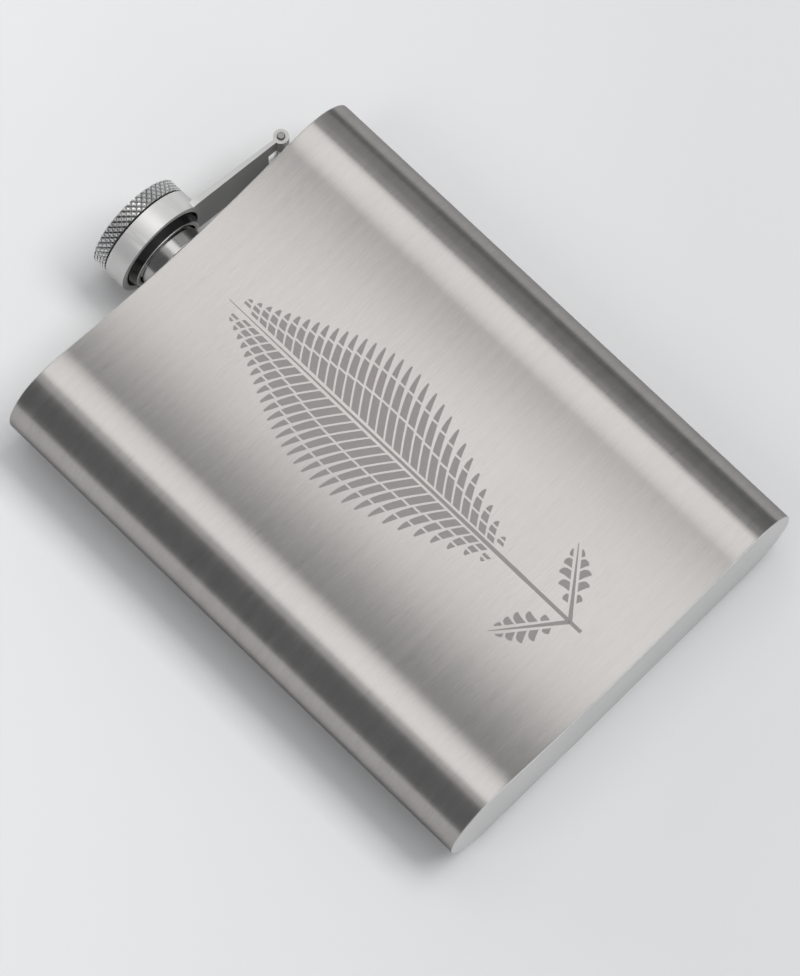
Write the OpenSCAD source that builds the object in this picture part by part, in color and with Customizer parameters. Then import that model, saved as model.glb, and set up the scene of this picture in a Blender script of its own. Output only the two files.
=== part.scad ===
// Hip flask lying on its back, with a captive screw cap on a hinged arm.
// X runs across the flask with the hinge at +X, Y runs along it with the cap at +Y,
// and Z is up through the dished front face. The origin is under the middle of the box.

/* [Body] */
// Width of the body across its two rounded sides
body_w = 95; // [78:1:116]
// Length of the body, from the base to the top plate's outer face
body_l = 124; // [90:1:150]
// Radius of the two rounded sides, seen along the flask
side_r = 10.8; // [10:0.1:13]
// How far the back bows out between the rounded sides
back_bow = 1.0; // [0.4:0.1:2]
// Depth of the body along its centre line, where the front is dished
waist_t = 19.3; // [17.6:0.1:21.2]
// Width of each gentle shoulder between the dish and a rounded side
shoulder_w = 6.5; // [5:0.5:15]
// Thickness of the body's sheet
wall_t = 0.7; // [0.5:0.05:1]
// Thickness of the two welded end plates
plate_t = 1.0; // [0.7:0.1:1.4]

/* [Neck] */
// Outer diameter of the neck
neck_d = 14.8; // [11.8:0.2:15.2]
// Wall of the neck
neck_wall = 1.0; // [0.8:0.1:1.4]
// Height of the neck above the top plate
neck_h = 7.1; // [5.9:0.1:8.6]

/* [Cap] */
// Gap between the neck and the cap's sleeve, each side
thread_gap = 0.3; // [0.25:0.05:0.5]
// Wall of the sleeve that goes over the neck
sleeve_wall = 1.9; // [1.5:0.1:2.3]
// Height of the sleeve
sleeve_h = 5.65; // [4.8:0.05:6.2]
// Thickness of the sleeve's closed end
sleeve_top_t = 1.0; // [0.8:0.1:1.3]
// Thickness of the sealing gasket
gasket_t = 0.9; // [0.75:0.05:1.1]
// Height of the knurled head
head_h = 3.4; // [2.8:0.1:4.2]
// Bevel on the knurled head's two rims
head_bevel = 0.4; // [0.2:0.05:0.6]
// Thickness of the sliding washer under the head
washer_t = 0.3; // [0.2:0.05:0.5]
// Diameter of the sliding washer
washer_d = 17; // [12:0.5:19]
// Diameter of the rivet that joins the head and the sleeve
rivet_d = 3.8; // [3:0.1:4.8]
// Diameter of the rivet's flat end
rivet_head_d = 6.8; // [5.6:0.1:8]
// Thickness of the rivet's flat end
rivet_head_t = 0.6; // [0.4:0.05:0.7]
// How deep the rivet goes into the knurled head
rivet_grip = 1.8; // [1.2:0.1:2.1]

/* [Arm] */
// Gap between the sleeve and the arm's ring, each side
ring_gap = 0.3; // [0.2:0.05:0.5]
// Wall of the arm's ring
ring_wall = 1.3; // [1:0.1:1.6]
// Height of the arm's ring
ring_h = 4.9; // [4:0.1:5.6]
// Thickness of the disc that closes the ring under the washer
web_t = 0.8; // [0.6:0.05:1]
// Width of the strap
strap_w = 13; // [11:0.5:14]
// Depth of the strap where it leaves the ring
strap_root_t = 1.4; // [1.1:0.1:2]
// Depth of the strap where it meets the hinge
strap_tip_t = 0.8; // [0.7:0.1:1.2]

/* [Hinge] */
// Distance of the hinge pin from the flask's centre line
hinge_x = 32.3; // [27:0.1:36]
// Height of the hinge pin above the top plate
hinge_lift = 3.6; // [3.2:0.1:4.4]
// Outer diameter of the hinge knuckles
knuckle_d = 3.3; // [2.8:0.1:4]
// Diameter of the hinge pin
pin_d = 1.6; // [1.3:0.05:1.9]
// How far the pin stands out of the knuckles, each side
pin_proud = 0.6; // [0:0.1:1]
// Width of the bracket's knuckle, between the strap's two
bracket_w = 4.2; // [3.5:0.1:5]
// How far the slot between the strap's two knuckles reaches past them
fork_reach = 2.1; // [1.7:0.1:3]
// Thickness of the bracket's leg
leg_t = 1.7; // [1.4:0.1:2]
// Length of the bracket's welded foot
foot_l = 5.6; // [4.6:0.1:6.8]
// Thickness of the bracket's welded foot
foot_t = 0.7; // [0.5:0.05:0.9]

/* [Hidden] */
$fn = 96;

// Clearances
slide_gap = 0.05;    // between faces that slide on each other
pin_gap = 0.05;      // round the hinge pin where the arm turns on it
fork_gap = 0.2;      // between the bracket's knuckle and the strap's two, each side
web_gap = 0.15;      // between the sleeve's closed end and the ring's disc
rest_gap = 0.05;     // under the cap's ring when the flask lies on its back
cut = 0.5;           // how far a cutting shape runs past the face it cuts

// Radii of the cap stack, each worked out from the piece inside it
neck_r = neck_d / 2;
mouth_r = neck_r - neck_wall;
sleeve_bore_r = neck_r + thread_gap;
sleeve_r = sleeve_bore_r + sleeve_wall;
ring_bore_r = sleeve_r + ring_gap;
cap_r = ring_bore_r + ring_wall;
rivet_r = rivet_d / 2;
rivet_head_r = rivet_head_d / 2;
knuckle_r = knuckle_d / 2;
axis_z = cap_r + rest_gap;

// Heights of the cap stack above the top plate, from the neck's rim upwards
gasket_h0 = neck_h;
sleeve_h1 = gasket_h0 + gasket_t + sleeve_top_t;
sleeve_h0 = sleeve_h1 - sleeve_h;
web_h0 = sleeve_h1 + web_gap;
web_h1 = web_h0 + web_t;
ring_h0 = web_h1 - ring_h;
washer_h0 = web_h1 + slide_gap;
head_h0 = washer_h0 + washer_t;
head_h1 = head_h0 + head_h;

// Places along the flask
overall_l = body_l + head_h1;
base_y = -overall_l / 2;
top_y = base_y + body_l;

// The body's outline is six arcs that meet smoothly: two sides, two shoulders, a dished front
// and a bowed back
side_x = body_w / 2 - side_r;
side_z = side_r + back_bow;
crown_z = side_z + side_r;
back_r = (side_x * side_x + side_z * side_z - side_r * side_r) / (2 * back_bow);
back_a = atan2(side_z - back_r, side_x);
dish_a = 2 * atan((crown_z - waist_t) / side_x);
dish_r = (side_x - shoulder_w) / sin(dish_a);
shoulder_r = shoulder_w / sin(dish_a);
side_steps = 24;
shoulder_steps = 6;
dish_steps = 20;
back_steps = 14;

// Points of an arc from one angle to another, without its last point
function arc_points(x, z, r, a0, a1, steps) =
    [for (i = [0 : steps - 1])
        let (a = a0 + (a1 - a0) * i / steps)
        [x + r * cos(a), z + r * sin(a)]];

// The body's outline, moved inwards by a sheet's thickness
function outline_points(inset) = concat(
    arc_points(side_x, side_z, side_r - inset, back_a, 90, side_steps),
    arc_points(side_x, crown_z - shoulder_r, shoulder_r - inset, 90, 90 + dish_a, shoulder_steps),
    arc_points(0, waist_t + dish_r, dish_r + inset, dish_a - 90, -90 - dish_a, dish_steps),
    arc_points(-side_x, crown_z - shoulder_r, shoulder_r - inset, 90 - dish_a, 90, shoulder_steps),
    arc_points(-side_x, side_z, side_r - inset, 90, 180 - back_a, side_steps),
    arc_points(0, back_r, back_r - inset, -180 - back_a, back_a, back_steps));

module outline(inset = 0) {
    polygon(outline_points(inset));
}

// Pushes a flat shape drawn in X and Z along Y, from y0 for a given length
module along_y(y0, length) {
    translate([0, y0 + length, 0]) rotate([90, 0, 0]) linear_extrude(length) children();
}

// A cylinder along the cap's axis, at a height above the top plate
module disc(h0, r, h) {
    translate([0, top_y + h0, axis_z]) rotate([-90, 0, 0]) cylinder(r = r, h = h);
}

// A cylinder along the hinge pin, centred on the cap's axis
module hinge_rod(r, width) {
    translate([hinge_x, top_y + hinge_lift, axis_z]) cylinder(r = r, h = width, center = true);
}

// Pushes a side profile drawn in X and height above the top plate through Z
module across_z(width) {
    translate([0, top_y, axis_z - width / 2]) linear_extrude(width) children();
}

module body_wall() {
    color("silver") along_y(base_y + plate_t, body_l - 2 * plate_t) difference() {
        outline();
        outline(wall_t);
    }
}

module base_plate() {
    color("lightsteelblue") along_y(base_y, plate_t) outline();
}

module top_plate() {
    color("lightsteelblue") difference() {
        along_y(top_y - plate_t, plate_t) outline();
        disc(-plate_t - cut, neck_r, plate_t + 2 * cut);
    }
}

module neck() {
    color("gainsboro") difference() {
        disc(-plate_t, neck_r, plate_t + neck_h);
        disc(-plate_t - cut, mouth_r, plate_t + neck_h + 2 * cut);
    }
}

module hinge_bracket() {
    color("darkgray") difference() {
        union() {
            hinge_rod(knuckle_r, bracket_w);
            across_z(bracket_w) translate([hinge_x - leg_t / 2, 0]) square([leg_t, hinge_lift]);
            across_z(bracket_w) translate([hinge_x - foot_l / 2, 0]) square([foot_l, foot_t]);
        }
        hinge_rod(pin_d / 2, bracket_w + 2 * cut);
    }
}

module hinge_pin() {
    color("gray") hinge_rod(pin_d / 2, strap_w + 2 * pin_proud);
}

// Side profile of the strap, from inside the ring's wall to the hinge pin
module strap_profile() {
    polygon([
        [ring_bore_r / 2, ring_h0],
        [ring_bore_r, ring_h0],
        [hinge_x, hinge_lift - strap_tip_t / 2],
        [hinge_x, hinge_lift + strap_tip_t / 2],
        [ring_bore_r, ring_h0 + strap_root_t],
        [ring_bore_r / 2, ring_h0 + strap_root_t]
    ]);
}

module hinge_arm() {
    slot_reach = knuckle_r + fork_reach;
    slot_w = bracket_w + 2 * fork_gap;
    color("whitesmoke") difference() {
        union() {
            disc(ring_h0, cap_r, ring_h);
            across_z(strap_w) strap_profile();
            hinge_rod(knuckle_r, strap_w);
        }
        disc(ring_h0 - cut, ring_bore_r, web_h0 - ring_h0 + cut);
        disc(web_h0 - cut, rivet_r + ring_gap, web_t + 2 * cut);
        translate([hinge_x - slot_reach, top_y, axis_z - slot_w / 2])
            cube([2 * slot_reach, hinge_lift + knuckle_d, slot_w]);
        hinge_rod(pin_d / 2 + pin_gap, strap_w + 2 * cut);
    }
}

module cap_head() {
    color("darkgray") difference() {
        translate([0, top_y + head_h0, axis_z]) rotate([-90, 0, 0]) rotate_extrude() polygon([
            [0, 0],
            [cap_r - head_bevel, 0],
            [cap_r, head_bevel],
            [cap_r, head_h - head_bevel],
            [cap_r - head_bevel, head_h],
            [0, head_h]
        ]);
        disc(head_h0 - cut, rivet_r, rivet_grip + cut);
    }
}

module cap_sleeve() {
    color("dimgray") difference() {
        disc(sleeve_h0, sleeve_r, sleeve_h);
        disc(sleeve_h0 - cut, sleeve_bore_r, sleeve_h - sleeve_top_t + cut);
        disc(sleeve_h0, rivet_r, sleeve_h + cut);
    }
}

module cap_rivet() {
    seat_h = gasket_h0 + gasket_t;
    color("gray") union() {
        disc(seat_h - rivet_head_t, rivet_head_r, rivet_head_t);
        disc(seat_h - rivet_head_t, rivet_r, head_h0 + rivet_grip - seat_h + rivet_head_t);
    }
}

module cap_washer() {
    color("white") difference() {
        disc(washer_h0, washer_d / 2, washer_t);
        disc(washer_h0 - cut, rivet_r, washer_t + 2 * cut);
    }
}

module cap_gasket() {
    color("ivory") difference() {
        disc(gasket_h0, sleeve_bore_r - slide_gap, gasket_t);
        disc(gasket_h0 - cut, rivet_head_r + slide_gap, gasket_t + 2 * cut);
    }
}

body_wall();
base_plate();
top_plate();
neck();
hinge_bracket();
hinge_pin();
hinge_arm();
cap_head();
cap_sleeve();
cap_rivet();
cap_washer();
cap_gasket();
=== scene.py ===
"""Hip flask: the visual model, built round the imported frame. All sizes are in metres.

X runs across the flask with the hinge at +X, Y along it with the cap at +Y, and Z up.
"""
import math

import bmesh
import bpy
from mathutils import Matrix, Vector


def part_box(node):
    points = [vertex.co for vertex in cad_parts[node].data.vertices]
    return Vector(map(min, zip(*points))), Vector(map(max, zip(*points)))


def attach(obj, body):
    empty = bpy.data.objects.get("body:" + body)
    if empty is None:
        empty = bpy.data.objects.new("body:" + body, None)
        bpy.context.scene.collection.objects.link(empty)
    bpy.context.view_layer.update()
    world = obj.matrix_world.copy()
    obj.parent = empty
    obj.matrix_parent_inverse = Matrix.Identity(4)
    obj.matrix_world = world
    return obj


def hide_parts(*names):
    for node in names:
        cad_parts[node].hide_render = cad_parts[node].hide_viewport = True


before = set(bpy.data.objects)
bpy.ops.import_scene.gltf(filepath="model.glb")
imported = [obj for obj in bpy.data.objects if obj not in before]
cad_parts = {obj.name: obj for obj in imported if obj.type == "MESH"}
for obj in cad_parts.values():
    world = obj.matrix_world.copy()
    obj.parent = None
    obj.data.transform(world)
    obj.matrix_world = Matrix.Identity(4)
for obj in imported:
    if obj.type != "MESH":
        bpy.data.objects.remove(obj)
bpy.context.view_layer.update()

MM = 0.001
SEGMENTS = 128                      # steps round a turned piece
MERGE_GAP = 1e-7                    # points nearer than this become one
THREAD_PITCH = 1.6 * MM
THREAD_DEPTH = 0.45 * MM
THREAD_FADE = THREAD_PITCH / 4      # length over which a thread rises at each end
THREAD_ROWS = 44
KNURL_AROUND = 48                   # diamonds round the head
KNURL_ROWS = 4                      # half diamonds across it
KNURL_DEPTH = 0.38 * MM
KNURL_TIP = 0.3                     # the flat tip's share of a diamond
KNURL_LOW_BEVEL = 0.1 * MM          # plain stretch between the band and the washer's side
KNURL_HIGH_BEVEL = 0.28 * MM        # and between the band and the outer face
KNURL_FACE_IN = 0.3 * MM            # the flat faces start this far inside the valleys
KNURL_EDGE = 0.06 * MM              # the painted shade of the valleys ends this far below a tip
CONTACT_GAP = 0.01 * MM             # keeps the neck's rim clear of the seal that turns on it

# ---------------------------------------------------------------- sizes taken from the frame


def corners_of(node):
    """The low and high corners of a CAD node's box."""
    low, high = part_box(node)
    return Vector(low), Vector(high)


wall_lo, wall_hi = corners_of("body_wall")
base_lo, base_hi = corners_of("base_plate")
top_lo, top_hi = corners_of("top_plate")
neck_lo, neck_hi = corners_of("neck")
head_lo, head_hi = corners_of("cap_head")
sleeve_lo, sleeve_hi = corners_of("cap_sleeve")
arm_hi = corners_of("hinge_arm")[1]
pin_lo, pin_hi = corners_of("hinge_pin")
bracket_lo, bracket_hi = corners_of("hinge_bracket")
rivet_lo, rivet_hi = corners_of("cap_rivet")
washer_lo, washer_hi = corners_of("cap_washer")
gasket_lo, gasket_hi = corners_of("cap_gasket")

body_w = wall_hi.x - wall_lo.x
base_y = base_lo.y
top_y = top_hi.y
axis_z = (head_lo.z + head_hi.z) / 2
cap_r = (head_hi.x - head_lo.x) / 2
sleeve_r = (sleeve_hi.x - sleeve_lo.x) / 2
neck_r = (neck_hi.x - neck_lo.x) / 2
washer_r = (washer_hi.x - washer_lo.x) / 2
gasket_r = (gasket_hi.x - gasket_lo.x) / 2
rivet_head_r = (rivet_hi.x - rivet_lo.x) / 2
hinge = (pin_lo + pin_hi) / 2
pin_r = (pin_hi.x - pin_lo.x) / 2
knuckle_r = arm_hi.x - hinge.x
bracket_w = bracket_hi.z - bracket_lo.z
foot_l = bracket_hi.x - bracket_lo.x

# ---------------------------------------------------------------- sizes repeated from the part

side_r = 10.8 * MM
back_bow = 1.0 * MM
waist_t = 19.3 * MM
shoulder_w = 6.5 * MM
wall_t = 0.7 * MM
neck_wall = 1.0 * MM
thread_gap = 0.3 * MM
ring_gap = 0.3 * MM
ring_wall = 1.3 * MM
ring_h = 4.9 * MM
web_t = 0.8 * MM
sleeve_top_t = 1.0 * MM
rivet_r = 1.9 * MM
rivet_head_t = 0.6 * MM
strap_root_t = 1.4 * MM
strap_tip_t = 0.8 * MM
fork_gap = 0.2 * MM
fork_reach = 2.1 * MM
pin_proud = 0.6 * MM
slide_gap = 0.05 * MM
rivet_grip = 1.8 * MM
leg_t = 1.7 * MM
foot_t = 0.7 * MM
ring_bore_r = cap_r - ring_wall
ring_y0 = washer_lo.y - slide_gap - ring_h
web_y0 = ring_y0 + ring_h - web_t

# ---------------------------------------------------------------- camera, light and floor

# The view of the photograph: the camera stands off the base end, on the side away from the hinge
VIEW_AZIMUTH = math.radians(-136.28)
VIEW_ELEVATION = math.radians(71.89)
VIEW_ROLL = math.radians(1.23)
VIEW_DISTANCE = 0.957
VIEW_FOCAL_PX = 4766.0
VIEW_TARGET = Vector((0.56 * MM, (base_y + top_y) / 2 - 0.06 * MM, 0.12 * MM))
FRAME_H_PX = 976.0
SENSOR = 36.0
RAIL_Z = 1.5                        # height of the lights that face straight down
STUDIO_DARK = 0.18                  # strength of the surroundings off the cap end
STUDIO_PALE = 0.55                  # and off the base end
STUDIO_FADE = (0.05, -0.7)          # the Y of the directions between which it changes
FLOOR_HALF = 3.0


def add_camera():
    """A camera at the photograph's angle, aimed at the middle of the body's underside."""
    towards = Vector((
        math.cos(VIEW_ELEVATION) * math.cos(VIEW_AZIMUTH),
        math.cos(VIEW_ELEVATION) * math.sin(VIEW_AZIMUTH),
        math.sin(VIEW_ELEVATION)))
    right = Vector((0, 0, 1)).cross(towards).normalized()
    up = towards.cross(right)
    right_r = right * math.cos(VIEW_ROLL) + up * math.sin(VIEW_ROLL)
    up_r = up * math.cos(VIEW_ROLL) - right * math.sin(VIEW_ROLL)
    data = bpy.data.cameras.new("camera")
    data.sensor_width = SENSOR
    data.lens = VIEW_FOCAL_PX * SENSOR / FRAME_H_PX
    data.clip_start = 0.01
    data.clip_end = 20
    camera = bpy.data.objects.new("camera", data)
    place = Matrix((right_r, up_r, towards)).transposed().to_4x4()
    place.translation = VIEW_TARGET + towards * VIEW_DISTANCE
    camera.matrix_world = place
    bpy.context.scene.collection.objects.link(camera)
    bpy.context.scene.camera = camera


def add_softbox(name, place, aim, size_x, size_y, watts, spin=0.0):
    """A rectangular soft light that faces a point."""
    data = bpy.data.lights.new(name, "AREA")
    data.shape = "RECTANGLE"
    data.size = size_x
    data.size_y = size_y
    data.energy = watts
    light = bpy.data.objects.new(name, data)
    back = (Vector(place) - Vector(aim)).normalized()
    side = Vector((0, 1, 0)).cross(back).normalized()
    turn = Matrix((side, back.cross(side), back)).transposed().to_4x4()
    turn.translation = Vector(place)
    light.matrix_world = turn @ Matrix.Rotation(spin, 4, "Z")
    bpy.context.scene.collection.objects.link(light)
    return light


def add_overhead(name, x, y, size_x, size_y, watts, spin=0.0):
    """A soft light that faces straight down, at the height of the studio's rail."""
    add_softbox(name, (x, y, RAIL_Z), (x, y, 0), size_x, size_y, watts, spin)


def add_card(name, place, size_x, size_y, watts):
    """A low card that the metal mirrors as a band, aimed at the flask."""
    add_softbox(name, place, (0, 0, 0), size_x, size_y, watts)


def add_fill(name, place, size_x, size_y, watts):
    """A broad light for the paper and the shadows, which metal doesn't mirror."""
    light = add_softbox(name, place, (0, 0, 0), size_x, size_y, watts)
    light.visible_glossy = False


def add_lights():
    """The bright band on the front comes from the key; the cards light the sides and the cap."""
    add_overhead("key", 0.34, 0.375, size_x=0.765, size_y=1.875, watts=7.2, spin=math.radians(-14))
    add_overhead("left_card", -0.3, 0.28, size_x=0.46, size_y=1.5, watts=1.2)
    add_overhead("right_card", 1.1, 0.6, size_x=0.5, size_y=1.8, watts=0.7)
    add_card("back_card", (0.1, 0.95, 0.5), size_x=1.2, size_y=0.5, watts=1.6)
    add_card("side_card", (0.6, 0.45, 0.4), size_x=0.5, size_y=0.45, watts=0.35)
    add_card("front_card", (0.25, -1.1, 0.32), size_x=0.9, size_y=0.35, watts=1.5)
    add_fill("fill", (1.1, -0.6, 2.3), size_x=0.9, size_y=1.7, watts=43)
    add_fill("left_fill", (-1.2, 0.3, 1.3), size_x=0.8, size_y=0.8, watts=5)


def add_world():
    """A dim studio, which polished metal mirrors as dark grey, brighter off the base end."""
    world = bpy.data.worlds.new("studio")
    world.use_nodes = True
    tree = world.node_tree
    shade = tree.nodes["Background"]
    shade.inputs["Color"].default_value = (0.93, 0.96, 1.0, 1)
    direction = tree.nodes.new("ShaderNodeTexCoord")
    parts = tree.nodes.new("ShaderNodeSeparateXYZ")
    fade = tree.nodes.new("ShaderNodeMapRange")
    fade.inputs["From Min"].default_value, fade.inputs["From Max"].default_value = STUDIO_FADE
    fade.inputs["To Min"].default_value = STUDIO_DARK
    fade.inputs["To Max"].default_value = STUDIO_PALE
    tree.links.new(direction.outputs["Generated"], parts.inputs["Vector"])
    tree.links.new(parts.outputs["Y"], fade.inputs["Value"])
    tree.links.new(fade.outputs["Result"], shade.inputs["Strength"])
    bpy.context.scene.world = world


# ---------------------------------------------------------------- materials

class Shader:
    """A Principled material, with short calls for adding nodes to it."""

    def __init__(self, name):
        self.material = bpy.data.materials.new(name)
        self.material.use_nodes = True
        self.tree = self.material.node_tree
        self.main = self.tree.nodes["Principled BSDF"]

    def set(self, **values):
        for key, value in values.items():
            self.main.inputs[key.replace("_", " ")].default_value = value
        return self

    def node(self, kind, **settings):
        made = self.tree.nodes.new(kind)
        for key, value in settings.items():
            setattr(made, key, value)
        return made

    def link(self, source, target):
        self.tree.links.new(source, target)

    def coordinates(self, scale, kind="Object"):
        """Object or UV coordinates, multiplied by a scale on each axis."""
        source = self.node("ShaderNodeTexCoord")
        mapping = self.node("ShaderNodeMapping")
        mapping.inputs["Scale"].default_value = scale
        self.link(source.outputs[kind], mapping.inputs["Vector"])
        return mapping.outputs["Vector"]

    def along(self, axis):
        """The object coordinate along X, Y or Z."""
        parts = self.node("ShaderNodeSeparateXYZ")
        self.link(self.coordinates((1, 1, 1)), parts.inputs["Vector"])
        return parts.outputs[axis]

    def noise(self, scale, detail=2.0, rough=0.5, kind="Object"):
        """Noise with so many features per metre: one number, or one for each axis."""
        spread = scale if isinstance(scale, tuple) else (scale, scale, scale)
        vector = self.coordinates(spread, kind)
        made = self.node("ShaderNodeTexNoise")
        made.inputs["Scale"].default_value = 1.0
        made.inputs["Detail"].default_value = detail
        made.inputs["Roughness"].default_value = rough
        self.link(vector, made.inputs["Vector"])
        return made.outputs["Fac"]

    def arithmetic(self, operation, one, other):
        """A calculation on two values, either of which may be a plain number."""
        made = self.node("ShaderNodeMath", operation=operation)
        for value, socket in zip((one, other), made.inputs):
            if isinstance(value, (int, float)):
                socket.default_value = value
            else:
                self.link(value, socket)
        return made.outputs[0]

    def add_share(self, value, share, base):
        """Adds a share of one pattern to another."""
        made = self.node("ShaderNodeMath", operation="MULTIPLY_ADD")
        self.link(value, made.inputs[0])
        made.inputs[1].default_value = share
        self.link(base, made.inputs[2])
        return made.outputs[0]

    def span(self, value, low, high, from_low=0.3, from_high=0.7):
        """Maps a range of a pattern onto a range of values."""
        made = self.node("ShaderNodeMapRange")
        made.inputs["From Min"].default_value = from_low
        made.inputs["From Max"].default_value = from_high
        made.inputs["To Min"].default_value = low
        made.inputs["To Max"].default_value = high
        self.link(value, made.inputs["Value"])
        return made.outputs["Result"]

    def blend(self, value, colour_a, colour_b):
        """A colour between two, by a pattern from 0 to 1."""
        made = self.node("ShaderNodeMix", data_type="RGBA")
        made.inputs["A"].default_value = (*colour_a, 1)
        made.inputs["B"].default_value = (*colour_b, 1)
        self.link(value, made.inputs["Factor"])
        return made.outputs["Result"]

    def tone(self, colour):
        self.link(colour, self.main.inputs["Base Color"])

    def rough(self, value, low, high, *given):
        """Roughness between two values, wherever a pattern goes from low to high."""
        self.link(self.span(value, low, high, *given), self.main.inputs["Roughness"])

    def bump(self, height, strength, distance=0.02 * MM):
        made = self.node("ShaderNodeBump")
        made.inputs["Strength"].default_value = strength
        made.inputs["Distance"].default_value = distance
        self.link(height, made.inputs["Height"])
        self.link(made.outputs["Normal"], self.main.inputs["Normal"])


def brushed_wall():
    """Stainless sheet with a fine grain that runs across the flask."""
    s = Shader("brushed_wall").set(Metallic=1.0, Anisotropic=0.8, Anisotropic_Rotation=0.25)
    s.set(Specular_Tint=(0.55, 0.55, 0.56, 1))
    # UV: u runs round the outline, v along the flask, both in metres
    fine = s.noise((300, 5200, 1), 3.0, 0.65, "UV")
    broad = s.noise((20, 520, 1), 2.0, 0.5, "UV")
    cloud = s.noise((26, 18, 1), 3.0, 0.55, "UV")
    grain = s.add_share(broad, 0.5, fine)
    s.rough(grain, 0.27, 0.37, 0.45, 1.05)
    shade = s.span(s.add_share(cloud, 0.35, grain), 0, 1, 0.6, 1.25)
    s.tone(s.blend(shade, (0.36, 0.345, 0.332), (0.485, 0.465, 0.447)))
    s.bump(grain, 0.25)
    tangent = s.node("ShaderNodeTangent", direction_type="UV_MAP", uv_map="grain")
    s.link(tangent.outputs["Tangent"], s.main.inputs["Tangent"])
    return s.material


def satin_plate():
    """Softly blasted steel on the two end plates."""
    s = Shader("satin_plate").set(Metallic=1.0)
    grain = s.noise(900, 3.0, 0.6)
    s.rough(s.noise(60), 0.34, 0.44)
    s.tone(s.blend(grain, (0.60, 0.597, 0.592), (0.69, 0.687, 0.68)))
    s.bump(grain, 0.15)
    return s.material


def polished(name, colour, rough_low=0.06, rough_high=0.16):
    """Polished steel with faint wipe marks and a slightly uneven gloss."""
    s = Shader(name).set(Metallic=1.0)
    wipes = s.noise(400, 4.0, 0.6)
    s.rough(wipes, rough_low, rough_high)
    dull = tuple(c * 0.93 for c in colour)
    s.tone(s.blend(wipes, dull, colour))
    s.bump(wipes, 0.04)
    return s.material


def satin_nickel():
    """Nickel-plated steel with a soft gloss, on the arm; painted darker along the strap and lighter on the
    ring, as painted shade and light.
    """
    s = Shader("satin_nickel").set(Metallic=0.5, Specular_IOR_Level=0.6)
    wipes = s.noise(220)
    s.rough(wipes, 0.36, 0.42)
    # painted light and shade: the ring is painted lighter and the strap darker; the wipe marks mixed in
    # are real
    painted_ring_light = s.span(s.along("X"), 1, 0, ring_bore_r - 3 * MM, cap_r)
    painted_light_mix = s.add_share(wipes, 0.3, painted_ring_light)
    s.tone(s.blend(painted_light_mix, (0.39, 0.385, 0.377), (0.64, 0.63, 0.618)))
    s.bump(wipes, 0.04)
    return s.material


def shade_painted_sleeve():
    """Steel painted near-black as painted shade, except for a narrow bright band at its rim."""
    s = Shader("shade_painted_sleeve").set(Metallic=1.0)
    clouds = s.noise(260)
    s.rough(clouds, 0.14, 0.26)
    mixed = s.node("ShaderNodeMix", data_type="RGBA")
    # painted shade: the sleeve is near-black away from its rim, and bright only in the narrow band at the
    # rim
    painted_light_mix = s.span(s.along("Y"), 1, 0, sleeve_lo.y + 0.05 * MM, sleeve_lo.y + 0.2 * MM)
    s.link(painted_light_mix, mixed.inputs["Factor"])
    s.link(s.blend(clouds, (0.02, 0.02, 0.0195), (0.06, 0.059, 0.057)), mixed.inputs["A"])
    mixed.inputs["B"].default_value = (0.85, 0.84, 0.82, 1)
    s.tone(mixed.outputs["Result"])
    return s.material


def knurled_metal():
    """Rolled knurl: bright tips and a bright end face, with the valleys between painted dark as painted
    shade.
    """
    s = Shader("knurled_metal").set(Metallic=1.0)
    grain = s.noise(1500, 3.0, 0.6)
    s.rough(grain, 0.2, 0.34)
    from_axis = s.node("ShaderNodeMapping")
    from_axis.inputs["Location"].default_value = (0, 0, -axis_z)
    s.link(s.coordinates((1, 0, 1)), from_axis.inputs["Vector"])
    radius = s.node("ShaderNodeVectorMath", operation="LENGTH")
    s.link(from_axis.outputs["Vector"], radius.inputs[0])
    # painted shade: the colour darkens towards the valleys of the knurl
    off_valley = s.arithmetic("SUBTRACT", radius.outputs["Value"], cap_r - KNURL_DEPTH)
    height = s.span(s.arithmetic("ABSOLUTE", off_valley, 0), 0, 1, 0, KNURL_DEPTH - KNURL_EDGE)
    s.tone(s.blend(s.add_share(grain, 0.1, height), (0.27, 0.268, 0.264), (0.84, 0.834, 0.824)))
    s.bump(grain, 0.04)
    return s.material


def soft_polymer(name, colour_a, colour_b, rough):
    """Nylon or silicone with a fine moulded texture."""
    s = Shader(name)
    grain = s.noise(2000, 3.0, 0.6)
    s.tone(s.blend(grain, colour_a, colour_b))
    s.rough(grain, rough, rough + 0.12)
    s.bump(grain, 0.2, 0.03 * MM)
    return s.material


def etched_metal():
    """Laser-etched steel: matt, slightly mauve, with a fine even tooth."""
    s = Shader("etched_metal").set(Metallic=0.75)
    grain = s.noise(1800, 3.0, 0.65)
    s.rough(grain, 0.5, 0.62)
    s.tone(s.blend(grain, (0.28, 0.258, 0.25), (0.37, 0.345, 0.335)))
    s.bump(grain, 0.3)
    return s.material


def floor_paper():
    """Matt pale studio paper, with painted shade that makes it a little darker towards the hinge side of
    the base.
    """
    s = Shader("floor_paper").set(Specular_IOR_Level=0.2)
    cloud = s.noise(2)
    # painted shade: a gradient that darkens the paper towards +X and -Y, standing in for light falling off
    across = s.arithmetic("SUBTRACT", s.along("X"), s.along("Y"))
    shade = s.add_share(cloud, 0.2, s.span(across, 0, 1, -0.12, 0.12))
    s.tone(s.blend(shade, (0.67, 0.67, 0.673), (0.57, 0.57, 0.573)))
    s.rough(cloud, 0.75, 0.85)
    return s.material


# ---------------------------------------------------------------- building pieces

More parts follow.
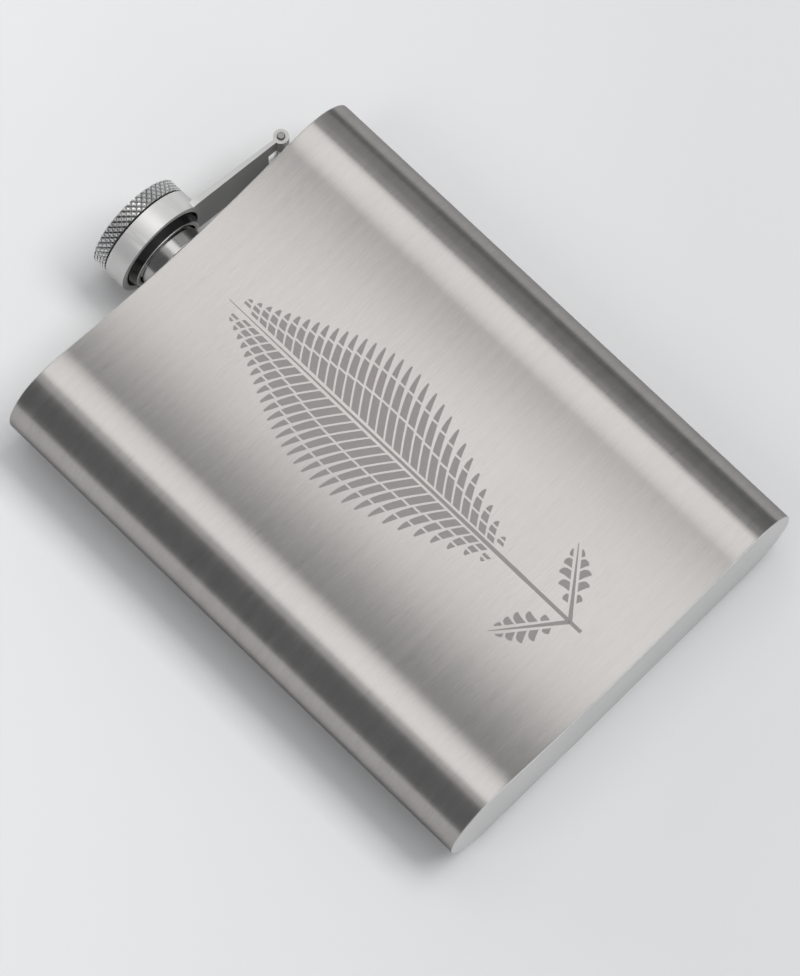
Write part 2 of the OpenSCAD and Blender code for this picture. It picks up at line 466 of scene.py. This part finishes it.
def finish_piece(name, mesh, material, body, nodes=(), smooth_angle=32):
    """Makes a smooth-shaded piece with sharp edges kept, and rides it on its body."""
    mesh.materials.append(material)
    for face in mesh.polygons:
        face.use_smooth = True
    mesh.set_sharp_from_angle(angle=math.radians(smooth_angle))
    piece = bpy.data.objects.new(name, mesh)
    bpy.context.scene.collection.objects.link(piece)
    normals = piece.modifiers.new("normals", "WEIGHTED_NORMAL")
    normals.keep_sharp = True
    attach(piece, body)
    if nodes:
        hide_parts(*nodes)
    return piece


def clean_mesh(name, bm):
    """Merges doubled points, turns the faces outwards and writes the mesh."""
    bmesh.ops.remove_doubles(bm, verts=bm.verts, dist=MERGE_GAP)
    bmesh.ops.recalc_face_normals(bm, faces=bm.faces)
    mesh = bpy.data.meshes.new(name)
    bm.to_mesh(mesh)
    bm.free()
    return mesh


def fillet(corners, steps=5):
    """A closed outline whose corners are given as (a, b, radius), with each corner rounded."""
    most = 0.49                         # share of an edge that one rounding may take
    out = []
    count = len(corners)
    for i, (a, b, radius) in enumerate(corners):
        here = Vector((a, b))
        if radius <= 0:
            out.append(here)
            continue
        before = Vector(corners[i - 1][:2]) - here
        after = Vector(corners[(i + 1) % count][:2]) - here
        half = before.angle(after) / 2
        reach = min(radius / math.tan(half), before.length * most, after.length * most)
        radius = reach * math.tan(half)
        start = here + before.normalized() * reach
        end = here + after.normalized() * reach
        centre = here + (before.normalized() + after.normalized()).normalized() * (radius / math.sin(half))
        angle0 = math.atan2(start.y - centre.y, start.x - centre.x)
        angle1 = math.atan2(end.y - centre.y, end.x - centre.x)
        turn = (angle1 - angle0 + math.pi) % (2 * math.pi) - math.pi
        for k in range(steps + 1):
            angle = angle0 + turn * k / steps
            out.append(centre + radius * Vector((math.cos(angle), math.sin(angle))))
    return out


def full_turn(count=SEGMENTS):
    """Evenly spread angles round a circle."""
    return [2 * math.pi * k / count for k in range(count)]


def cap_point(bm, radius, y, angle):
    """A point at a radius and angle round the axis of the cap and neck."""
    return bm.verts.new((radius * math.cos(angle), y, axis_z + radius * math.sin(angle)))


def cap_ring(bm, radius, y):
    """A ring round the axis of the cap and neck; with no radius, one point repeated."""
    if not radius:
        return [bm.verts.new((0, y, axis_z))] * SEGMENTS
    return [cap_point(bm, radius, y, a) for a in full_turn()]


def turned(profile):
    """Turns a closed (radius, y) outline round the axis of the cap and neck."""
    bm = bmesh.new()
    rings = [cap_ring(bm, radius, y) for radius, y in profile]
    skin_all(bm, rings, closed=True)
    return bm


def skin_all(bm, rings, closed=False):
    """Faces from each ring to the next, and from the last to the first if the row is closed."""
    for ring, following in zip(rings, rings[1:] + (rings[:1] if closed else [])):
        skin(bm, ring, following)


def skin(bm, ring, following):
    """Faces between two closed rings of points; either may be a single repeated point."""
    count = len(ring)
    for k in range(count):
        corners = [ring[k], ring[(k + 1) % count], following[(k + 1) % count], following[k]]
        unique = list(dict.fromkeys(corners))
        if len(unique) > 2:
            bm.faces.new(unique)


# ---------------------------------------------------------------- the body

SIDE_STEPS = 40
SHOULDER_STEPS = 16
DISH_STEPS = 64
BACK_STEPS = 48
WALL_STATIONS = 25                  # stretches along the flask
RIM_R = 0.28 * MM                   # rounding of an end plate's rim
RIM_SLOPE = 0.35                    # a face whose normal's Y is under this belongs to the rim
RIM_STEPS = 5

side_x = body_w / 2 - side_r
side_z = side_r + back_bow
back_r = (side_x ** 2 + side_z ** 2 - side_r ** 2) / (2 * back_bow)
back_a = math.atan2(side_z - back_r, side_x)
crown_z = side_z + side_r
dish_a = 2 * math.atan((crown_z - waist_t) / side_x)
dish_r = (side_x - shoulder_w) / math.sin(dish_a)
shoulder_r = shoulder_w / math.sin(dish_a)


def arc(x, z, radius, angle0, angle1, steps):
    """Points of an arc, without its last one."""
    for k in range(steps):
        a = angle0 + (angle1 - angle0) * k / steps
        yield x + radius * math.cos(a), z + radius * math.sin(a)


def outline(inset=0.0):
    """The body's outline in X and Z, moved inwards: sides, shoulders, dished front, bowed back."""
    up = math.pi / 2
    shoulder_z = crown_z - shoulder_r
    return [
        *arc(side_x, side_z, side_r - inset, back_a, up, SIDE_STEPS),
        *arc(side_x, shoulder_z, shoulder_r - inset, up, up + dish_a, SHOULDER_STEPS),
        *arc(0, waist_t + dish_r, dish_r + inset, dish_a - up, -up - dish_a, DISH_STEPS),
        *arc(-side_x, shoulder_z, shoulder_r - inset, up - dish_a, up, SHOULDER_STEPS),
        *arc(-side_x, side_z, side_r - inset, up, 2 * up - back_a, SIDE_STEPS),
        *arc(0, back_r, back_r - inset, -2 * up - back_a, back_a, BACK_STEPS)]


def front_height(x):
    """Height of the dished front face at a distance from the centre line."""
    return waist_t + dish_r - math.sqrt(dish_r ** 2 - x ** 2)


def body_ring(bm, inset, y):
    """The body's outline as points across the flask."""
    return [bm.verts.new((x, y, z)) for x, z in outline(inset)]


def add_body_wall(material):
    """The wrapped sheet, as a closed tube, with UVs along its grain."""
    bm = bmesh.new()
    y0 = wall_lo.y
    y1 = wall_hi.y
    outside = [body_ring(bm, 0, y0 + (y1 - y0) * k / WALL_STATIONS) for k in range(WALL_STATIONS + 1)]
    inside = [body_ring(bm, wall_t, y1), body_ring(bm, wall_t, y0)]
    skin_all(bm, outside + inside, closed=True)
    mesh = clean_mesh("body_wall_skin", bm)
    add_grain(mesh)
    return finish_piece("body_wall_skin", mesh, material, "flask", ["body_wall"])


def add_grain(mesh):
    """UVs along the grain, on a mesh whose points start with whole outlines: round it, then along Y."""
    points = outline()
    count = len(points)
    lengths = [0.0]
    for one, following in zip(points, points[1:]):
        lengths.append(lengths[-1] + math.dist(one, following))
    total = lengths[-1] + math.dist(points[-1], points[0])
    layer = mesh.uv_layers.new(name="grain")
    for face in mesh.polygons:
        steps = [mesh.loops[i].vertex_index % count for i in face.loop_indices]
        wraps = max(steps) - min(steps) > count / 2
        for i, step in zip(face.loop_indices, steps):
            u = lengths[step] + (total if wraps and step == 0 else 0)
            layer.data[i].uv = (u, mesh.vertices[mesh.loops[i].vertex_index].co.y)


def end_plate(name, outer_y, inner_y, materials, node, hole_r=None):
    """A welded end plate: satin on its face, brushed like the wall on its rim, and open at a hole."""
    bm = bmesh.new()
    way = 1 if inner_y > outer_y else -1
    rim = [(RIM_R * (1 - math.cos(a)), outer_y + way * RIM_R * (1 - math.sin(a)))
           for a in (math.pi / 2 * k / RIM_STEPS for k in range(RIM_STEPS + 1))]
    insets = [(wall_t, inner_y), (0, inner_y), *rim, (2 * RIM_R, outer_y)]
    rings = [body_ring(bm, inset, y) for inset, y in insets]
    skin_all(bm, rings)
    fill_face(bm, rings[-1], outer_y, hole_r)
    fill_face(bm, rings[0], inner_y, hole_r)
    if hole_r:
        bmesh.ops.remove_doubles(bm, verts=bm.verts, dist=MERGE_GAP)
        skin(bm, cap_ring(bm, hole_r, outer_y), cap_ring(bm, hole_r, inner_y))
    mesh = clean_mesh(name, bm)
    add_grain(mesh)
    face_finish, rim_finish = materials
    piece = finish_piece(name, mesh, face_finish, "flask", [node])
    mesh.materials.append(rim_finish)
    for face in mesh.polygons:
        if abs(face.normal.y) < RIM_SLOPE:
            face.material_index = 1
    return piece


def fill_face(bm, ring, y, hole_r):
    """Fills a flat outline, leaving a round hole if one is asked for."""
    if not hole_r:
        bm.faces.new(ring)
        return
    hole = cap_ring(bm, hole_r, y)
    edges = []
    for loop in (ring, hole):
        for a, b in zip(loop, loop[1:] + loop[:1]):
            edges.append(bm.edges.get((a, b)) or bm.edges.new((a, b)))
    bmesh.ops.triangle_fill(bm, use_beauty=True, edges=edges, normal=(0, 1, 0))


# ---------------------------------------------------------------- the etched sprig on the front

ETCH_PROUD = 0.012 * MM
ETCH_SUNK = 0.03 * MM
ETCH_GAP = 0.42 * MM                # the bright line left between two strokes
RIB = 0.4 * MM                      # half the width of a leaf's rib
BARB_PITCH = 2.35 * MM              # along a leaf's rib
BARB_T = 1.85 * MM
BARB_RISE = 0.8                     # how far a barb leans towards the leaf's tip, per unit of its reach
BARB_STEPS = 6
BARB_SWEEP = 0.25                   # how much of a barb's lean is lost towards the leaf's edge
BARB_FIRST = 0.05                   # the first barb's place, as a share of the leaf's length
BARB_LAST = 0.94
BARB_POINT = 0.8                    # share of a barb's thickness lost at its outer end
LEAF_POINT = 1.15                   # over 1, a leaf is widest past its middle
RIB_END = 0.95                      # the rib's end, as a share of the leaf's length
RIB_TAPER = 1.15                    # the rib's width at its root, in ribs; it loses one by the tip
RIB_STEPS = 12
STEM_STEPS = 20
SIDE_LEAF_TURN = math.radians(52)
SIDE_LEAF_UP = 3 * MM               # up the stem from its foot
SPRIG_Y0 = -57 * MM
SPRIG_Y1 = 45 * MM
LEAF_L = 87 * MM
LEAF_W = 31 * MM
LEAF_BREAKS = (0.42, 0.74)          # where the large leaf's barbs are broken, as shares of their reach
SIDE_LEAF_L = 17 * MM
SIDE_LEAF_W = 6.5 * MM


def etched_strip(bm, left, right):
    """A thin closed strip that lies on the dished front, between two rows of (x, y) points."""
    rows = []
    for points in (left, right):
        for lift in (ETCH_PROUD, -ETCH_SUNK):
            rows.append([bm.verts.new((x, y, front_height(x) + lift)) for x, y in points])
    left_top, left_low, right_top, right_low = rows
    loop = [left_top, right_top, right_low, left_low]
    for one, following in zip(loop, loop[1:] + loop[:1]):
        for k in range(len(one) - 1):
            bm.faces.new((one[k], one[k + 1], following[k + 1], following[k]))
    for k in (0, -1):
        bm.faces.new([row[k] for row in loop])


def etched_leaf(bm, root_y, heading, length, width, breaks=()):
    """One leaf: a rib, and leaning barbs, broken at shares of its width, inside a pointed outline."""
    along = Vector((math.sin(heading), math.cos(heading)))
    across = Vector((along.y, -along.x))

    def place(u, v):
        point = Vector((0, root_y)) + along * u + across * v
        return point.x, point.y

    def reach(u):
        """Half the leaf's width, at a distance along its rib."""
        return width / 2 * math.sin(math.pi * min(max(u / length, 0), 1) ** LEAF_POINT)

    ribs = [RIB_END * length * k / RIB_STEPS for k in range(RIB_STEPS + 1)]
    rib_half = [RIB * (RIB_TAPER - u / length) for u in ribs]
    etched_strip(bm, [place(u, -half) for u, half in zip(ribs, rib_half)],
                 [place(u, half) for u, half in zip(ribs, rib_half)])
    root = BARB_FIRST * length
    while root < BARB_LAST * length:
        lean = BARB_RISE * reach(root)
        edge = reach(root + lean)
        cuts = [RIB + ETCH_GAP, *(edge * b for b in breaks), edge]
        for start, end in zip(cuts, cuts[1:]):
            first = start + (ETCH_GAP / 2 if start > cuts[0] else 0)
            last = end - (ETCH_GAP / 2 if end < edge else 0)
            if last - first < ETCH_GAP:
                continue
            for way in (-1, 1):
                low, high = [], []
                for k in range(BARB_STEPS + 1):
                    v = first + (last - first) * k / BARB_STEPS
                    u = root + BARB_RISE * v * (1 - BARB_SWEEP * v / edge)
                    thick = BARB_T * (1 - BARB_POINT * (v / edge) ** 4)
                    low.append(place(u, way * v))
                    high.append(place(min(u + thick, length), way * v))
                etched_strip(bm, low, high)
        root += BARB_PITCH


def add_etching(material):
    """A sprig along the middle of the front: a stem, two small side leaves and one large leaf."""
    bm = bmesh.new()
    leaf_y = SPRIG_Y1 - LEAF_L
    rows = [SPRIG_Y0 + (leaf_y - SPRIG_Y0) * k / STEM_STEPS for k in range(STEM_STEPS + 1)]
    etched_strip(bm, [(-RIB, y) for y in rows], [(RIB, y) for y in rows])
    etched_leaf(bm, leaf_y, 0, LEAF_L, LEAF_W, LEAF_BREAKS)
    for way in (-1, 1):
        etched_leaf(bm, SPRIG_Y0 + SIDE_LEAF_UP, way * SIDE_LEAF_TURN, SIDE_LEAF_L, SIDE_LEAF_W)
    mesh = clean_mesh("front_etching", bm)
    return finish_piece("front_etching", mesh, material, "flask")


# ---------------------------------------------------------------- turned pieces of the cap and neck

NECK_FOOT_H = 3.1 * MM              # plain length of the neck before its thread
NECK_RIM_R = 0.25 * MM
WELD_R = 0.35 * MM
WELD_STEPS = 6
SLEEVE_RIM_W = 0.9 * MM
SLEEVE_RIM_R = 0.22 * MM
GASKET_BORE_GAP = 0.05 * MM         # between the rivet's flat end and the gasket


def thread_radius(angle, y, y0, y1, crest, depth):
    """Radius of a rounded screw thread that fades in and out at its ends."""
    phase = ((y - y0) / THREAD_PITCH - angle / (2 * math.pi)) % 1.0
    ridge = 0.5 + 0.5 * math.cos(2 * math.pi * phase)
    reach = min(y - y0, y1 - y, THREAD_FADE) / THREAD_FADE
    return crest - depth * (1 - ridge * max(reach, 0.0))


def threaded_tube(before, y0, y1, crest, depth, after):
    """A turned piece, with a screw thread from y0 to y1 between two rows of (radius, y) points."""
    bm = bmesh.new()
    rings = [cap_ring(bm, radius, y) for radius, y in before]
    for k in range(THREAD_ROWS + 1):
        y = y0 + (y1 - y0) * k / THREAD_ROWS
        rings.append([cap_point(bm, thread_radius(a, y, y0, y1, crest, depth), y, a) for a in full_turn()])
    rings += [cap_ring(bm, radius, y) for radius, y in after]
    skin_all(bm, rings, closed=True)
    return bm


def add_neck(material):
    """The threaded neck: a plain polished foot, a thread and a rolled rim."""
    bore = neck_r - neck_wall
    root = neck_r - THREAD_DEPTH
    foot_y = top_y + NECK_FOOT_H
    y0 = foot_y + 0.3 * MM
    y1 = neck_hi.y - 0.5 * MM
    rim_y = neck_hi.y - CONTACT_GAP
    before = [(bore, neck_lo.y), (neck_r, neck_lo.y), (neck_r, foot_y), (root, foot_y + 0.2 * MM)]
    rim = fillet([(root, y1, 0), (root, rim_y, NECK_RIM_R), (bore, rim_y, NECK_RIM_R), (bore, y1, 0)])
    bm = threaded_tube(before, y0, y1, neck_r, THREAD_DEPTH, rim[1:])
    return finish_piece("neck_tube", clean_mesh("neck_tube", bm), material, "flask", ["neck"])


def add_neck_weld(material):
    """The narrow polished weld fillet where the neck meets the top plate."""
    profile = [(neck_r, top_y), (neck_r + WELD_R, top_y)]
    for k in range(1, WELD_STEPS + 1):
        a = math.pi / 2 * k / WELD_STEPS
        profile.append((neck_r + WELD_R * (1 - math.sin(a)), top_y + WELD_R * (1 - math.cos(a))))
    mesh = clean_mesh("neck_weld", turned(profile))
    return finish_piece("neck_weld", mesh, material, "flask")


def add_sleeve(material):
    """The sleeve inside the arm's ring, threaded inside, which narrows towards a bevelled rim."""
    bore = neck_r + thread_gap
    root = bore + THREAD_DEPTH
    rim_r = bore + SLEEVE_RIM_W
    floor_y = sleeve_hi.y - sleeve_top_t
    waist_y = ring_y0 + 0.6 * MM
    outside = fillet([
        (rivet_r, floor_y, 0),
        (rivet_r, sleeve_hi.y, 0),
        (sleeve_r, sleeve_hi.y, 0.2 * MM),
        (sleeve_r, waist_y, 0.8 * MM),
        (rim_r, sleeve_lo.y, SLEEVE_RIM_R),
        (bore, sleeve_lo.y, SLEEVE_RIM_R),
        (bore, floor_y, 0)])
    y0 = sleeve_lo.y + 0.4 * MM
    y1 = floor_y - 0.3 * MM
    bm = threaded_tube(outside[:-1], y0, y1, bore, -THREAD_DEPTH, [(root, floor_y)])
    return finish_piece("cap_sleeve_turned", clean_mesh("cap_sleeve_turned", bm), material,
                        "cap", ["cap_sleeve"])


def add_turned(name, corners, material, node):
    """A plain turned piece of the cap, from (radius, y, rounding) corners."""
    mesh = clean_mesh(name, turned(fillet(corners)))
    return finish_piece(name, mesh, material, "cap", [node])


def add_rivet(material):
    """The rivet, with its flat end inside the sleeve and its shank in the knurled head."""
    flat_y = rivet_lo.y + rivet_head_t
    return add_turned("cap_rivet_turned", [
        (0, rivet_lo.y, 0),
        (rivet_head_r, rivet_lo.y, 0.2 * MM),
        (rivet_head_r, flat_y, 0.05 * MM),
        (rivet_r, flat_y, 0),
        (rivet_r, rivet_hi.y, 0),
        (0, rivet_hi.y, 0)], material, "cap_rivet")


def add_washer(material):
    """The thin washer that the head slides on, painted near-black as painted shade for the gap between the
    head and the ring.
    """
    return add_turned("cap_washer_disc", [
        (rivet_r, washer_lo.y, 0),
        (washer_r, washer_lo.y, 0.05 * MM),
        (washer_r, washer_hi.y, 0.05 * MM),
        (rivet_r, washer_hi.y, 0)], material, "cap_washer")


def add_gasket(material):
    """The seal that presses on the neck's rim."""
    bore = rivet_head_r + GASKET_BORE_GAP
    return add_turned("cap_gasket_seal", [
        (bore, gasket_lo.y, 0.15 * MM),
        (gasket_r, gasket_lo.y, 0.15 * MM),
        (gasket_r, gasket_hi.y, 0.05 * MM),
        (bore, gasket_hi.y, 0.05 * MM)], material, "cap_gasket")


def add_knurled_head(material):
    """The head of the cap: a band of cut diamonds between two plain bevels, and a blind rivet hole."""
    step = (head_hi.y - head_lo.y - KNURL_LOW_BEVEL - KNURL_HIGH_BEVEL) / KNURL_ROWS
    columns = 2 * KNURL_AROUND
    valley_r = cap_r - KNURL_DEPTH
    bm = bmesh.new()
    points = {}

    def point(column, row, radius):
        """A corner of the knurl; whole numbers are valleys and tips, and fractions lie between."""
        key = (round(column % columns, 3), round(row, 3), round(radius, 7))
        if key not in points:
            y = head_lo.y + KNURL_LOW_BEVEL + row * step
            points[key] = cap_point(bm, radius, y, 2 * math.pi * column / columns)
        return points[key]

    def diamond(column, row):
        """One pyramid with a small flat tip; at the band's edge, half of one."""
        ways = [(1, 0), (0, 1), (-1, 0), (0, -1)]
        ways = [w for w in ways if 0 <= row + w[1] <= KNURL_ROWS]
        tips = [point(column + w[0] * KNURL_TIP, row + w[1] * KNURL_TIP, cap_r) for w in ways]
        feet = [point(column + w[0], row + w[1], valley_r) for w in ways]
        bm.faces.new(tips)
        # a half diamond's cut side lies on the band's edge, where the plain rings close it
        for k in range(len(ways)):
            following = (k + 1) % len(ways)
            if len(ways) == 4 or ways[k][1] or ways[following][1]:
                bm.faces.new((feet[k], feet[following], tips[following], tips[k]))

    for row in range(KNURL_ROWS + 1):
        for column in range(columns):
            if (column + row) % 2:
                diamond(column, row)

    def rim(row):
        """The corners along one edge of the band, in order."""
        out = []
        for column in range(columns):
            if (column + row) % 2:
                out += [(column - KNURL_TIP, cap_r), (column + KNURL_TIP, cap_r)]
            else:
                out.append((column, valley_r))
        return sorted(out)

    def plain_ring(row, radius, y):
        """A round ring whose points stand at the angles of an edge's corners."""
        return [cap_point(bm, radius, y, 2 * math.pi * column / columns) for column, _ in rim(row)]

    rivet_end = head_lo.y + rivet_grip
    face_r = valley_r - KNURL_FACE_IN
    low = [(face_r, head_lo.y), (rivet_r, head_lo.y), (rivet_r, rivet_end)]
    high = [(valley_r - 0.12 * MM, head_hi.y - 0.1 * MM), (face_r, head_hi.y)]
    for row, rings, centre_y in ((0, low, rivet_end), (KNURL_ROWS, high, head_hi.y)):
        chain = [[point(column, row, radius) for column, radius in rim(row)]]
        chain += [plain_ring(row, radius, y) for radius, y in rings]
        chain.append([bm.verts.new((0, centre_y, axis_z))] * len(chain[0]))
        skin_all(bm, chain)
    return finish_piece("cap_head_knurled", clean_mesh("cap_head_knurled", bm), material,
                        "cap", ["cap_head"], smooth_angle=20)


# ---------------------------------------------------------------- the arm and its hinge

ROD_SEGMENTS = 64
PIN_GAP = 0.05 * MM                 # between the pin and the arm's two knuckles
ARM_EDGE_R = 0.16 * MM
BRACKET_EDGE_R = 0.12 * MM
PIN_EDGE_R = 0.15 * MM


def apply_modifiers(piece):
    """Bakes a helper's modifiers into its mesh."""
    shown = piece.evaluated_get(bpy.context.evaluated_depsgraph_get())
    mesh = bpy.data.meshes.new_from_object(shown)
    piece.modifiers.clear()
    piece.data = mesh


def helper(name, bm):
    """An object that is only shaped and joined to others, and is never shown itself."""
    mesh = clean_mesh(name, bm)
    made = bpy.data.objects.new(name, mesh)
    bpy.context.scene.collection.objects.link(made)
    return made


def combine(target, other, operation):
    """Joins or cuts one helper with another, which is then removed."""
    step = target.modifiers.new("step", "BOOLEAN")
    step.object = other
    step.operation = operation
    step.solver = "EXACT"
    apply_modifiers(target)
    bpy.data.objects.remove(other)


def soften(target, width):
    """Rounds a helper's sharp edges."""
    step = target.modifiers.new("soften", "BEVEL")
    step.width = width
    step.segments = 3
    step.limit_method = "ANGLE"
    step.angle_limit = math.radians(40)
    step.use_clamp_overlap = True
    apply_modifiers(target)


def show_helper(target, width, name, material, body, node):
    """Rounds a finished helper's edges and turns it into a visible piece."""
    soften(target, width)
    mesh = target.data.copy()
    bpy.data.objects.remove(target)
    return finish_piece(name, mesh, material, body, [node])


def prism(points, z0, z1):
    """Pushes a closed (x, y) outline through Z."""
    bm = bmesh.new()
    rings = [[bm.verts.new((x, y, z)) for x, y in points] for z in (z0, z1)]
    skin(bm, *rings)
    for ring in rings:
        bm.faces.new(ring)
    return bm


def block(x0, x1, y0, y1, z0, z1):
    """A box between two places on each axis."""
    return prism([(x0, y0), (x1, y0), (x1, y1), (x0, y1)], z0, z1)


def hinge_rod(radius, z0, z1):
    """A cylinder along the hinge's axis."""
    return prism([(hinge.x + radius * math.cos(a), hinge.y + radius * math.sin(a))
                  for a in full_turn(ROD_SEGMENTS)], z0, z1)


def cap_disc(radius, y0, y1):
    """A cylinder along the cap's axis."""
    return turned([(0, y0), (radius, y0), (radius, y1), (0, y1)])


def add_arm(material):
    """The arm in one piece: ring, tapered strap, forked end with two knuckles."""
    z0 = pin_lo.z + pin_proud
    z1 = pin_hi.z - pin_proud
    ring_y1 = ring_y0 + ring_h
    arm = helper("arm_ring", cap_disc(cap_r, ring_y0, ring_y1))
    strap = helper("arm_strap", prism([
        (ring_bore_r / 2, ring_y0),
        (ring_bore_r, ring_y0),
        (hinge.x, hinge.y - strap_tip_t / 2),
        (hinge.x, hinge.y + strap_tip_t / 2),
        (ring_bore_r, ring_y0 + strap_root_t),
        (ring_bore_r / 2, ring_y0 + strap_root_t)], z0, z1))
    combine(strap, helper("arm_knuckles", hinge_rod(knuckle_r, z0, z1)), "UNION")
    combine(arm, strap, "UNION")
    slot_half = bracket_w / 2 + fork_gap
    reach = knuckle_r + fork_reach
    cuts = {
        "arm_bore": cap_disc(ring_bore_r, ring_y0 - MM, web_y0),
        "arm_rivet_hole": cap_disc(rivet_r + ring_gap, web_y0 - MM, web_y0 + web_t + MM),
        "arm_slot": block(hinge.x - reach, hinge.x + reach, top_y, hinge.y + 2 * knuckle_r,
                          axis_z - slot_half, axis_z + slot_half),
        "arm_pin_hole": hinge_rod(pin_r + PIN_GAP, z0 - MM, z1 + MM)}
    for name, cut in cuts.items():
        combine(arm, helper(name, cut), "DIFFERENCE")
    return show_helper(arm, ARM_EDGE_R, "hinge_arm_polished", material, "arm", "hinge_arm")


def add_bracket(material):
    """The welded foot and leg of the hinge, with its centre knuckle."""
    z0 = bracket_lo.z
    z1 = bracket_hi.z
    foot = block(hinge.x - foot_l / 2, hinge.x + foot_l / 2, top_y, top_y + foot_t, z0, z1)
    leg = block(hinge.x - leg_t / 2, hinge.x + leg_t / 2, top_y, hinge.y, z0, z1)
    bracket = helper("bracket_foot", foot)
    combine(bracket, helper("bracket_leg", leg), "UNION")
    combine(bracket, helper("bracket_knuckle", hinge_rod(knuckle_r, z0, z1)), "UNION")
    combine(bracket, helper("bracket_hole", hinge_rod(pin_r, z0 - MM, z1 + MM)), "DIFFERENCE")
    return show_helper(bracket, BRACKET_EDGE_R, "hinge_bracket_welded", material, "flask", "hinge_bracket")


def add_pin(material):
    """The hinge pin, with its ends slightly chamfered."""
    pin = helper("pin_body", hinge_rod(pin_r, pin_lo.z, pin_hi.z))
    return show_helper(pin, PIN_EDGE_R, "hinge_pin_ground", material, "flask", "hinge_pin")


# ---------------------------------------------------------------- making the scene

def add_floor():
    """A wide sheet of pale paper under the flask."""
    mesh = bpy.data.meshes.new("floor")
    corners = [(x * FLOOR_HALF, y * FLOOR_HALF, 0) for x, y in ((-1, -1), (1, -1), (1, 1), (-1, 1))]
    mesh.from_pydata(corners, [], [(0, 1, 2, 3)])
    mesh.materials.append(floor_paper())
    floor = bpy.data.objects.new("floor", mesh)
    bpy.context.scene.collection.objects.link(floor)


add_camera()
add_world()
add_floor()
add_lights()

steel = polished("polished_steel", (0.78, 0.77, 0.75))
wall_finish = brushed_wall()
plate_finish = satin_plate()
add_body_wall(wall_finish)
add_etching(etched_metal())
end_plate("base_plate_ground", base_lo.y, base_hi.y, (plate_finish, wall_finish), "base_plate")
end_plate("top_plate_ground", top_hi.y, top_lo.y, (plate_finish, wall_finish), "top_plate", neck_r)
# painted shade: the neck's steel is a darker copy of the polished steel, for the shade it sits in under
# the cap
add_neck(polished("neck_steel_painted_shade", (0.42, 0.412, 0.4), 0.16, 0.26))
add_neck_weld(steel)
add_sleeve(shade_painted_sleeve())
add_knurled_head(knurled_metal())
add_rivet(steel)
# the washer's near-black colour is painted shade for the gap between the head and the ring
add_washer(soft_polymer("washer_nylon_painted_shade", (0.02, 0.02, 0.02), (0.04, 0.04, 0.04), 0.4))
add_gasket(soft_polymer("gasket_silicone", (0.72, 0.71, 0.67), (0.80, 0.79, 0.75), 0.35))
add_arm(satin_nickel())
add_bracket(steel)
add_pin(polished("pin_steel", (0.2, 0.2, 0.196), 0.16, 0.28))

bpy.context.scene.view_settings.view_transform = "Standard"
bpy.context.scene.view_settings.look = "None"
